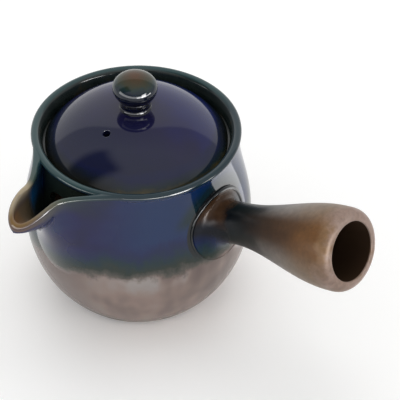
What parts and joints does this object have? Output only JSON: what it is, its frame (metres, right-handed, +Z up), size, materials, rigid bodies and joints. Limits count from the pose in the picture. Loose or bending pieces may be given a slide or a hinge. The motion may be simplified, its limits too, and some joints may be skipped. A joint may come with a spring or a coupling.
{
  "type": "side-handled teapot",
  "caption": "Side-handled ceramic teapot with a pinched spout over a pierced strainer, a hollow trumpet handle and a domed lift-off lid with a mushroom knob, sunk in a gallery.",
  "frame": {"origin": "on the pot's axis, in the plane that the foot ring stands on", "axes": "+Z up along the pot's axis, +X along the handle, the spout points to -Y"},
  "size_m": [0.1713, 0.1257, 0.1126],
  "materials": {
    "cobalt_glaze": "glossy cobalt blue glaze over brown stoneware",
    "fired_clay": "satin brown stoneware"
  },
  "bodies": {
    "pot": {"pot_body": "cobalt_glaze", "spout": "cobalt_glaze", "spout_strainer": "fired_clay", "handle": "fired_clay", "handle_luting_coil": "cobalt_glaze"},
    "lid": {"lid": "cobalt_glaze", "lid_knob": "cobalt_glaze"}
  },
  "joints": [
    {"name": "lid_lift", "type": "slide", "parent": "pot", "child": "lid", "axis": [0, 0, 1], "range_m": [0, 0.06]}
  ]
}
